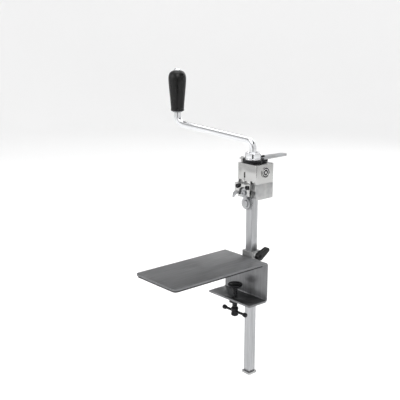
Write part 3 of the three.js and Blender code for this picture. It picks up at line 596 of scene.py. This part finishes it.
class OpenerColours(bpy.types.PropertyGroup):
    """Colours that a user may change."""

    steel: bpy.props.FloatVectorProperty(
        name="Steel", description="Brushed stainless steel", subtype="COLOR", default=linear("b4b5b7")[:3]
    )
    nickel: bpy.props.FloatVectorProperty(
        name="Nickel", description="Nickel plate", subtype="COLOR", default=linear("bdbdbc")[:3]
    )
    chrome: bpy.props.FloatVectorProperty(
        name="Chrome", description="Chromium plate", subtype="COLOR", default=linear("e2e3e5")[:3]
    )
    oxide: bpy.props.FloatVectorProperty(
        name="Black oxide", description="Blackened steel", subtype="COLOR", default=linear("2b2b2d")[:3]
    )
    bronze: bpy.props.FloatVectorProperty(
        name="Bronze", description="Sintered bronze", subtype="COLOR", default=linear("a98250")[:3]
    )
    grip: bpy.props.FloatVectorProperty(
        name="Grip", description="Black phenolic", subtype="COLOR", default=linear("070707")[:3]
    )
    rubber: bpy.props.FloatVectorProperty(
        name="Rubber", description="Pad rubber", subtype="COLOR", default=linear("1d1d1e")[:3]
    )
    floor: bpy.props.FloatVectorProperty(
        name="Floor", description="Studio floor", subtype="COLOR", default=linear("fbfbfb")[:3]
    )


class MakerOperator(bpy.types.Operator):
    """Shared base: makes a group of pieces and reports that it finished."""

    bl_options = {"REGISTER", "UNDO"}

    def execute(self, context):
        """Runs the group's make method."""
        self.make(context.scene.can_opener_sizes, context.scene.can_opener_colours)
        return {"FINISHED"}


# ------------------------------------------------------------------ stage
class MakeStage(MakerOperator):
    """Pale studio sweep, soft lights and the camera"""

    bl_idname = "can_opener.stage"
    bl_label = "Stage"

    def make(self, sizes, colours):
        """Floor radius runs flat, turns up through a quarter circle and ends in a low wall."""
        MATERIALS["floor"] = painted_studio("studio_paint_matt", tuple(colours.floor) + (1.0,))
        ground = CAD_BOX[0][2] + JOINTS["column_slide"]["range_m"][0] - FLOOR_GAP
        turn = np.linspace(0, np.pi / 2, 24)
        reach, bend, wall = 4.2, 1.0, 2.6
        radius = np.concatenate([[0, 0.5, 1, 2, 3], reach + bend * np.sin(turn), [reach + bend]])
        height = np.concatenate([np.zeros(5), bend * (1 - np.cos(turn)), [wall]]) + ground
        angle = np.linspace(0, 2 * np.pi, 96, endpoint=False)
        points = np.stack(
            [
                radius[:, None] * np.cos(angle), radius[:, None] * np.sin(angle),
                np.repeat(height[:, None], 96, 1),
            ],
            -1,
        )
        sweep = surface("studio_sweep", points, "floor")
        lamps = [
            ("key_softbox", (-1.5, -2.2, 2.3), (1.5, 1.5), 42),
            ("fill_softbox", (-2.6, 1.2, 1.4), (1.4, 1.8), 24),
            ("rim_softbox", (2.4, 0.6, 1.7), (0.9, 1.9), 22),
            ("top_softbox", (0.2, 0.3, 2.5), (1.6, 1.6), 20),
        ]
        for name, place, size, power in lamps:
            light = bpy.data.lights.new(name, "AREA")
            light.shape = "RECTANGLE"
            light.size, light.size_y = size
            light.energy = power
            obj = bpy.data.objects.new(name, light)
            obj.location = place
            target = np.array([0.0, 0.0, 0.1]) - np.array(place)
            yaw = math.atan2(-target[0], target[1])
            tilt = math.acos(-target[2] / np.linalg.norm(target))
            obj.rotation_euler = (tilt, 0, yaw)
            bpy.context.scene.collection.objects.link(obj)
        world = bpy.data.worlds.new("studio_world")
        world.use_nodes = True
        background = world.node_tree.nodes["Background"]
        background.inputs["Strength"].default_value = 1.0
        self.sky(world.node_tree, background)
        bpy.context.scene.world = world
        self.cards(ground)
        bpy.context.scene.view_settings.view_transform = "Standard"
        self.make_camera()

    def cards(self, ground):
        """Tall black cards, out of shot, that draw dark upright lines on the bright metal."""
        MATERIALS["card"] = painted_studio("studio_card_black", (0.004, 0.004, 0.004, 1.0))
        shapes = (
            ("card_front", (-1.04, -1.08), 0.6, 0.42),
            ("card_right", (1.5, -0.1), 0.16, 1.2),
            ("card_left", (-0.16, 1.5), 0.16, 1.2),
        )
        for name, place, width, top in shapes:
            centre = np.array([*place, 0.0])
            along = np.array([-place[1], place[0], 0.0]) / np.hypot(*place) * width / 2
            corners = [centre - along, centre + along]
            heights = (ground + 0.002, top)
            points = np.array([[corner + [0, 0, z] for corner in corners] for z in heights])
            mesh = bpy.data.meshes.new(name)
            mesh.from_pydata(points.reshape(-1, 3).tolist(), [], [(0, 1, 3, 2)])
            card = bpy.data.objects.new(name, mesh)
            bpy.context.scene.collection.objects.link(card)
            finish_piece(card, "card")
            card.visible_camera = False
            card.visible_shadow = False

    def sky(self, tree, background):
        """Soft white overhead, with a dark band low down that draws dark lines on bright metal."""
        place = add_node(tree, "ShaderNodeTexCoord").outputs["Generated"]
        height = add_node(tree, "ShaderNodeSeparateXYZ", {}, {0: place}).outputs["Z"]
        ramp = tree.nodes.new("ShaderNodeValToRGB")
        stops = [(0.0, 0.9), (0.42, 0.9), (0.48, 0.03), (0.60, 0.03), (0.68, 1.0), (1.0, 1.0)]
        for i, (at, value) in enumerate(stops):
            stop = ramp.color_ramp.elements[i] if i < 2 else ramp.color_ramp.elements.new(at)
            stop.position = at
            stop.color = (value, value, value, 1.0)
        tree.links.new(height, ramp.inputs[0])
        tree.links.new(ramp.outputs[0], background.inputs["Color"])

    def make_camera(self):
        """Camera at 0.91 m out, 0.95 m along and 0.43 m up, looking 13.5 degrees down."""
        lens = bpy.data.cameras.new("studio_camera")
        lens.sensor_width = 36.0
        lens.lens = 65.4
        lens.clip_end = 50
        camera = bpy.data.objects.new("studio_camera", lens)
        camera.location = (-0.9063, -0.9451, 0.4338)
        camera.rotation_euler = (math.radians(90 - 13.46), 0, math.radians(-40.88))
        bpy.context.scene.collection.objects.link(camera)
        bpy.context.scene.camera = camera


# ------------------------------------------------------------------ base and clamp
class MakeBase(MakerOperator):
    """Bent base sheet, rubber pad, guide sleeve with its welds, and the clamp nut"""

    bl_idname = "can_opener.base"
    bl_label = "Base"

    def make(self, sizes, colours):
        """Broken edges on the sheet and sleeve; weld beads where they meet."""
        dressed("base_plate", sizes.sheet_edge, segments=3)
        dressed("base_pad", sizes.cast_edge)
        dressed("guide_sleeve", sizes.cast_edge, segments=3)
        dressed("clamp_nut", sizes.sheet_edge)
        low, high = box_mm("guide_sleeve")
        back = box_mm("base_plate")[1][0]
        for side in (-1, 1):
            edge = side * (high[1] + 0.5)
            ends = np.array([[back + 0.9, edge, low[2] + 4], [back + 0.9, edge, -6]])
            self.bead(f"sleeve_weld_{'right' if side < 0 else 'left'}", ends, 1.9, "guide_sleeve")
        nut_top = box_mm("clamp_nut")[1][2]
        angle = np.linspace(0, 2 * np.pi, 241)
        radius = 10.2 + 0.25 * np.cos(6 * angle)
        height = np.full_like(angle, nut_top - 0.35)
        ring = np.column_stack([radius * np.cos(angle), radius * np.sin(angle), height])
        self.ripple("nut_weld", ring, 1.1, "clamp_nut")

    def bead(self, name, ends, size, node):
        """A straight weld bead between two places."""
        t = np.linspace(0, 1, 260)[:, None]
        self.ripple(name, ends[0] * (1 - t) + ends[1] * t, size, node)

    def ripple(self, name, path, size, node):
        """Tube whose radius swells once every ripple: size (1 + 0.13 |sin|), tapered at open ends."""
        length = np.concatenate([[0], np.cumsum(np.linalg.norm(np.diff(path, axis=0), axis=1))])
        swell = 1 + 0.13 * np.abs(np.sin(np.pi * length / 1.6))
        ends = np.minimum(length, length[-1] - length)
        taper = np.sqrt(np.clip(ends / size, 0, 1))
        piece = swept(name, path * MM, size * swell * taper * MM, SLOT_OF[node], sides=20)
        add_on(piece, node)


class MakeClamp(MakerOperator):
    """Threaded clamp screw, swivel foot and the sliding tommy bar with its balls"""

    bl_idname = "can_opener.clamp"
    bl_label = "Clamp"

    def make(self, sizes, colours):
        """Hub and thread share one axis; the bar's balls are turned about Y."""
        low, high = box_mm("clamp_screw")
        foot_low, foot_high = box_mm("clamp_foot")
        hub_top = low[2] + 18
        thread = threaded(
            "clamp_screw_thread", 4.95, sizes.clamp_pitch, hub_top - 3, foot_low[2] - 0.2,
            (0, 0, 0), "black_oxide",
        )
        stand_for(thread, "clamp_screw")
        hub_profile = [
            (0, low[2]), (5.6, low[2]), (7, low[2] + 1.4), (7, low[2] + 5), (6.5, low[2] + 5.6),
            (6.5, low[2] + 12.2), (7, low[2] + 12.8), (7, hub_top - 2.2), (5.2, hub_top),
            (0, hub_top),
        ]
        add_on(turned("clamp_screw_hub", hub_profile, (0, 0, 0), "black_oxide"), "clamp_screw")
        top = foot_high[2]
        base = foot_low[2]
        foot_profile = [
            (0, base + 1), (4.5, base), (9, base), (13.6, base + 3.2), (14, base + 4),
            (14, top - 0.8), (13.2, top), (12, top), (11.4, top - 0.5), (10.8, top), (8.4, top),
            (7.8, top - 0.5), (7.2, top), (0, top),
        ]
        stand_for(
            turned("clamp_foot_finished", foot_profile, (0, 0, 0), "black_oxide", softness=0.5),
            "clamp_foot",
        )
        bar_low, bar_high = box_mm("tommy_bar")
        z = (bar_low[2] + bar_high[2]) / 2 * MM
        rod = [
            (0, bar_low[1]), (2.2, bar_low[1]), (2.5, bar_low[1] + 0.5), (2.5, bar_high[1] - 0.5),
            (2.2, bar_high[1]), (0, bar_high[1]),
        ]
        stand_for(
            turned("tommy_bar_finished", rod, (0, 0, z), "black_oxide", axis=1, sides=40),
            "tommy_bar",
        )
        for node, side in (("tommy_bar_end_left", 1), ("tommy_bar_end_right", -1)):
            end = side * box_mm(node)[1 if side > 0 else 0][1]
            shape = [
                (0, end - 9), (2.9, end - 9), (3.9, end - 8.4), (3.9, end - 7.6), (3.4, end - 7.2),
                (4.2, end - 6), (4.6, end - 4.4), (4.5, end - 2.8), (3.7, end - 1.1),
                (2.2, end - 0.2), (0, end),
            ]
            profile = [(r, side * h) for r, h in shape]
            ball = turned(f"{node}_finished", profile, (0, 0, z), "black_oxide", axis=1, sides=48)
            stand_for(ball, node)


class MakeBarLock(MakerOperator):
    """Locking stud, black lever and its screw"""

    bl_idname = "can_opener.bar_lock"
    bl_label = "Bar lock"

    def make(self, sizes, colours):
        """The lever is a moulding, so its edges are rounder than the steel's."""
        dressed("lock_lever", 1.6 * MM, segments=4, angle=40)
        dressed("lock_stud", sizes.fine_edge)
        dressed("lock_lever_screw", sizes.fine_edge)
        low, high = box_mm("lock_lever")
        centre = joint_place("bar_lock_turn")
        washer = [
            (4.3, high[1] - 0.05), (6.6, high[1] - 0.05), (6.6, high[1] + 0.2),
            (4.3, high[1] + 0.2), (4.3, high[1] - 0.05),
        ]
        piece = turned(
            "lock_washer", washer, (centre[0], 0, centre[2]), "tool_steel", axis=1, softness=0.05,
        )
        add_on(piece, "lock_lever")


# ------------------------------------------------------------------ column
class MakeColumn(MakerOperator):
    """Drawn square bar with its end stop and end screw"""

    bl_idname = "can_opener.column"
    bl_label = "Column"

    def make(self, sizes, colours):
        """The bar is a square with round corners carried along Z, its ends chamfered."""
        low, high = box_mm("column_bar")
        centre = (low + high) / 2
        outline = rounded_square(high[0] - low[0], 1.1) + centre[:2]
        heights = [
            low[2], low[2], low[2] + 0.7, *np.linspace(low[2] + 5, high[2] - 5, 40), high[2] - 0.7,
            high[2], high[2],
        ]
        insets = [30, 0.7, 0] + [0] * 40 + [0, 0.7, 30]
        bar = extruded("column_bar_finished", outline, heights, insets, "bar_steel")
        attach(bar, BODY_OF["column_bar"])
        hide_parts("column_bar")
        dressed("bar_end_stop", sizes.cast_edge, segments=3)
        dressed("bar_end_screw", sizes.fine_edge)


# ------------------------------------------------------------------ head
class MakeHead(MakerOperator):
    """Lower and upper castings, screws, badge, collar and bushes"""

    bl_idname = "can_opener.head"
    bl_label = "Head"

    def make(self, sizes, colours):
        """Castings keep their shape and get round edges; the collar and badge are turned."""
        dressed("head_housing", sizes.head_edge, segments=3)
        dressed("gearbox_cover", sizes.head_edge, segments=3)
        for i in range(4):
            dressed(f"cover_screw_{i + 1}", sizes.fine_edge)
        small = ("head_set_screw_1", "head_set_screw_2", "crank_bush")
        small += ("layshaft_bush", "layshaft_rear_bush", "wheel_axle")
        for node in small:
            dressed(node, sizes.fine_edge)
        self.collar()
        self.badge()

    def collar(self):
        """Turned collar: neck, rolled upper rim and a recess round the crank rod."""
        low, high = box_mm("bearing_collar")
        axis = (low[0] + high[0]) / 2 * MM
        cover = box_mm("gearbox_cover")[1][2]
        top = high[2]
        profile = [
            (7.3, low[2]), (11, low[2]), (11, cover + CLEARANCE), (13, cover + CLEARANCE),
            (13, 192.4), (14.9, 192.4), (14.9, 194.2), (14.5, 194.6), (14.5, 195.2), (14.9, 195.6),
            (14.9, top - 1.2), (13.9, top), (9.6, top), (8.6, top - 1), (8.6, 187), (7.3, 187),
            (7.3, low[2]),
        ]
        stand_for(
            turned("bearing_collar_finished", profile, (axis, 0, 0), "chrome", sides=96),
            "bearing_collar",
        )

    def badge(self):
        """Round badge: domed field, bead rim and a plain raised ring emblem."""
        low, high = box_mm("badge_plate")
        centre = ((low[0] + high[0]) / 2 * MM, 0, (low[2] + high[2]) / 2 * MM)
        back, front = high[1], low[1]
        rim = 10.5
        profile = [
            (0, back), (rim, back), (rim, front + 0.3), (rim - 0.4, front), (rim - 1.0, front),
            (rim - 1.5, front + 0.5), (rim - 3.4, front + 0.55), (rim - 3.7, front + 0.15),
            (rim - 5.0, front + 0.15), (rim - 5.3, front + 0.55), (2.6, front + 0.5),
            (2.2, front + 0.15), (0, front + 0.1),
        ]
        badge = turned(
            "badge_plate_finished", profile, centre, "polished_nickel", axis=1, sides=96,
            softness=0.15,
        )
        stand_for(badge, "badge_plate")
        bands = (
            (rim - 3.35, rim - 1.55, "badge_enamel_outer"),
            (2.7, rim - 5.35, "badge_enamel_inner"),
        )
        for inner, outer, name in bands:
            band = [
                (inner, front + 0.5), (outer, front + 0.5), (outer, front + 0.36),
                (inner, front + 0.36), (inner, front + 0.5),
            ]
            enamel = turned(name, band, centre, "black_oxide", axis=1, sides=96, softness=0.02)
            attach(enamel, BODY_OF["badge_plate"])


class MakeGears(MakerOperator):
    """Layshaft, bevel pair, spur pair and feed wheel"""

    bl_idname = "can_opener.gears"
    bl_label = "Gears"

    def make(self, sizes, colours):
        """Teeth keep their cut shape with a fine broken edge."""
        trains = ("layshaft", "bevel_gear", "spur_pinion", "bevel_pinion", "wheel_gear", "feed_wheel")
        for node in trains:
            dressed(node, sizes.fine_edge, segments=1)


# ------------------------------------------------------------------ knife
class MakeKnife(MakerOperator):
    """Knife slide, holder, disc, screws, return spring and rim guide"""

    bl_idname = "can_opener.knife"
    bl_label = "Knife"

    def make(self, sizes, colours):
        """The disc is turned with a hollow-ground edge; the spring is a swept helix."""
        dressed("knife_slide", sizes.sheet_edge)
        dressed("knife_holder", sizes.sheet_edge, segments=3)
        dressed("rim_guide", 0.3 * MM)
        for node in ("holder_screw_1", "holder_screw_2", "knife_screw"):
            dressed(node, sizes.fine_edge)
        low, high = box_mm("knife_disc")
        centre = joint_place("knife_disc_spin")
        front, back = low[0], high[0]
        profile = [
            (3.3, back), (8, back), (10.9, back - 0.25), (9.6, back - 0.75), (8.4, front + 0.1),
            (7.9, front), (3.9, front), (3.3, front + 0.3), (3.3, back),
        ]
        disc = turned(
            "knife_disc_finished", profile, (0, centre[1], centre[2]), "tool_steel", axis=0,
            sides=128, softness=0.12,
        )
        stand_for(disc, "knife_disc")
        low, high = box_mm("knife_spring")
        middle = (low + high) / 2
        wire, turns = 0.27, 9.5
        coil = (high[0] - low[0]) / 2 - wire
        t = np.linspace(0, 1, 420)
        angle = t * turns * 2 * np.pi
        path = np.column_stack([
            middle[0] + coil * np.cos(angle),
            middle[1] + coil * np.sin(angle),
            low[2] + wire + t * (high[2] - low[2] - 2 * wire),
        ])
        spring = swept("knife_spring_finished", path * MM, wire * MM, "tool_steel", sides=10)
        stand_for(spring, "knife_spring")
        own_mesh(spring)


class MakeKnifeLever(MakerOperator):
    """Cam ring, flat lever and its two screws"""

    bl_idname = "can_opener.knife_lever"
    bl_label = "Knife lever"

    def make(self, sizes, colours):
        """Stamped lever with rolled edges on a black cam ring."""
        dressed("lever_ring", sizes.sheet_edge)
        dressed("knife_lever", 0.9 * MM, segments=3)
        dressed("lever_screw_1", sizes.fine_edge)
        dressed("lever_screw_2", sizes.fine_edge)


# ------------------------------------------------------------------ crank and grip
class MakeCrank(MakerOperator):
    """Bent chrome rod, grip, washer and cap nut"""

    bl_idname = "can_opener.crank"
    bl_label = "Crank"

    def make(self, sizes, colours):
        """Rod: a round section along a path with two bends; grip: a profile turned about its spindle."""
        low, high = box_mm("crank_rod")
        axis = joint_place("crank_turn")
        handle = joint_place("grip_spin")
        grip_low, grip_high = box_mm("grip")
        washer_bottom = box_mm("grip_washer")[0][2]
        start, end = axis[:2] / MM, handle[:2] / MM
        corners = np.array([
            [*start, 187.2],
            [*start, sizes.crank_low_corner],
            [*end, sizes.crank_high_corner],
            [*end, washer_bottom - CLEARANCE],
        ])
        path = self.bent(corners, sizes.crank_bend)
        size = np.full(len(path), ROD_RADIUS)
        size[0] = size[-1] = 0.01
        size[1] = size[-2] = 5.6
        rod = swept("crank_rod_finished", path * MM, size * MM, "chrome", sides=64)
        stand_for(rod, "crank_rod")
        shaft = [(0, low[2]), (4.6, low[2]), (5, low[2] + 0.5), (5, 188), (0, 188)]
        add_on(turned("crank_shaft_turned", shaft, (*axis[:2], 0), "tool_steel"), "crank_rod")
        spindle = [(0, 270), (4.5, 270), (4.5, grip_high[2] + 1), (0, grip_high[2] + 1)]
        add_on(turned("grip_spindle", spindle, (*handle[:2], 0), "tool_steel"), "crank_rod")
        self.grip(grip_low[2], grip_high[2], handle)
        dressed("grip_washer", sizes.fine_edge)
        cap_low, cap_high = box_mm("grip_cap_nut")
        base, top = cap_low[2], cap_high[2]
        cap = [
            (0, base), (6.4, base), (7, base + 0.4), (7, base + 1.1), (6.2, base + 1.6),
            (5.4, base + 2.2), (4.9, base + 3.1), (3.4, base + 4.1), (1.6, top - 0.1), (0, top),
        ]
        stand_for(
            turned("grip_cap_nut_finished", cap, (*handle[:2], 0), "chrome", sides=64),
            "grip_cap_nut",
        )

    def bent(self, corners, radius, steps=28):
        """Straight runs joined by true arcs: each corner's arc is set back by radius / tan(half angle)."""
        out = [corners[:1], corners[:1] + [[0, 0, 0.02]], corners[:1] + [[0, 0, 0.5]]]
        for before, corner, after in zip(corners[:-2], corners[1:-1], corners[2:]):
            back = (before - corner) / np.linalg.norm(before - corner)
            ahead = (after - corner) / np.linalg.norm(after - corner)
            half = math.acos(np.clip(np.dot(back, ahead), -1, 1)) / 2
            centre = corner + (back + ahead) / np.linalg.norm(back + ahead) * radius / math.sin(
                half,
            )
            first = (corner + back * radius / math.tan(half)) - centre
            last = (corner + ahead * radius / math.tan(half)) - centre
            sweep = math.pi - 2 * half
            t = np.linspace(0, 1, steps)[:, None]
            arc = (np.sin((1 - t) * sweep) * first + np.sin(t * sweep) * last) / math.sin(sweep)
            out.append(centre + arc)
        tip = corners[-1:]
        out += [tip - [[0, 0, 0.5]], tip - [[0, 0, 0.02]], tip]
        return np.concatenate(out)

    def grip(self, bottom, top, handle):
        """Swelling handle: radius follows a smooth curve, with end beads and a fine mould line."""
        profile = np.array(
            [
                (4.8, 0), (11.2, 0), (12.6, 0.8), (13.1, 2.2), (12.7, 3.6), (12.6, 4.6), (12.9, 9),
                (13.5, 17), (14.3, 26), (15.2, 35), (16.1, 45), (16.8, 54), (17.1, 60), (17.0, 65),
                (16.2, 69.2), (14.6, 72.6), (12.2, 75), (9.6, 76.4), (7.6, 77), (4.8, 77), (4.8, 0),
            ],
        )
        profile[:, 1] += bottom
        line = soften(profile, 2.6, 6)
        line = np.concatenate([line[:-1], profile[-1:]]) * MM
        angle = np.linspace(0, 2 * np.pi, 144, endpoint=False)
        seam = 0.06 * MM * np.exp(-((np.sin(angle) / 0.022) ** 2))
        radius = line[:, :1] + seam * (line[:, :1] > 8 * MM)
        points = np.stack([
            handle[0] + radius * np.cos(angle),
            handle[1] + radius * np.sin(angle),
            np.broadcast_to(line[:, 1:], radius.shape),
        ], -1)
        piece = surface("grip_finished", points[:-1], "black_phenolic", close_rows=True)
        stand_for(piece, "grip")


# ------------------------------------------------------------------ registration
MAKERS = (
    MakeStage, MakeBase, MakeClamp, MakeBarLock, MakeColumn,
    MakeHead, MakeGears, MakeKnife, MakeKnifeLever, MakeCrank,
)


class OpenerPanel(bpy.types.Panel):
    """Lists the makers and their settings."""

    bl_idname = "VIEW3D_PT_can_opener"
    bl_label = "Can opener"
    bl_space_type = "VIEW_3D"
    bl_region_type = "UI"
    bl_category = "Can opener"

    def draw(self, context):
        """Settings first, then one button for each maker."""
        for group in (context.scene.can_opener_sizes, context.scene.can_opener_colours):
            for key in group.bl_rna.properties.keys():
                if key not in ("rna_type", "name"):
                    self.layout.prop(group, key)
        for maker in MAKERS:
            self.layout.operator(maker.bl_idname)


CLASSES = (OpenerSizes, OpenerColours, *MAKERS, OpenerPanel)


def register():
    """Registers the classes and the settings."""
    for cls in CLASSES:
        bpy.utils.register_class(cls)
    bpy.types.Scene.can_opener_sizes = bpy.props.PointerProperty(type=OpenerSizes)
    bpy.types.Scene.can_opener_colours = bpy.props.PointerProperty(type=OpenerColours)


def unregister():
    """Removes the settings and the classes."""
    del bpy.types.Scene.can_opener_colours
    del bpy.types.Scene.can_opener_sizes
    for cls in reversed(CLASSES):
        bpy.utils.unregister_class(cls)


def main():
    """Makes every piece in order."""
    register()
    for maker in MAKERS:
        area, name = maker.bl_idname.split(".")
        getattr(getattr(bpy.ops, area), name)()
    bpy.context.view_layer.update()


if __name__ == "__main__":
    main()
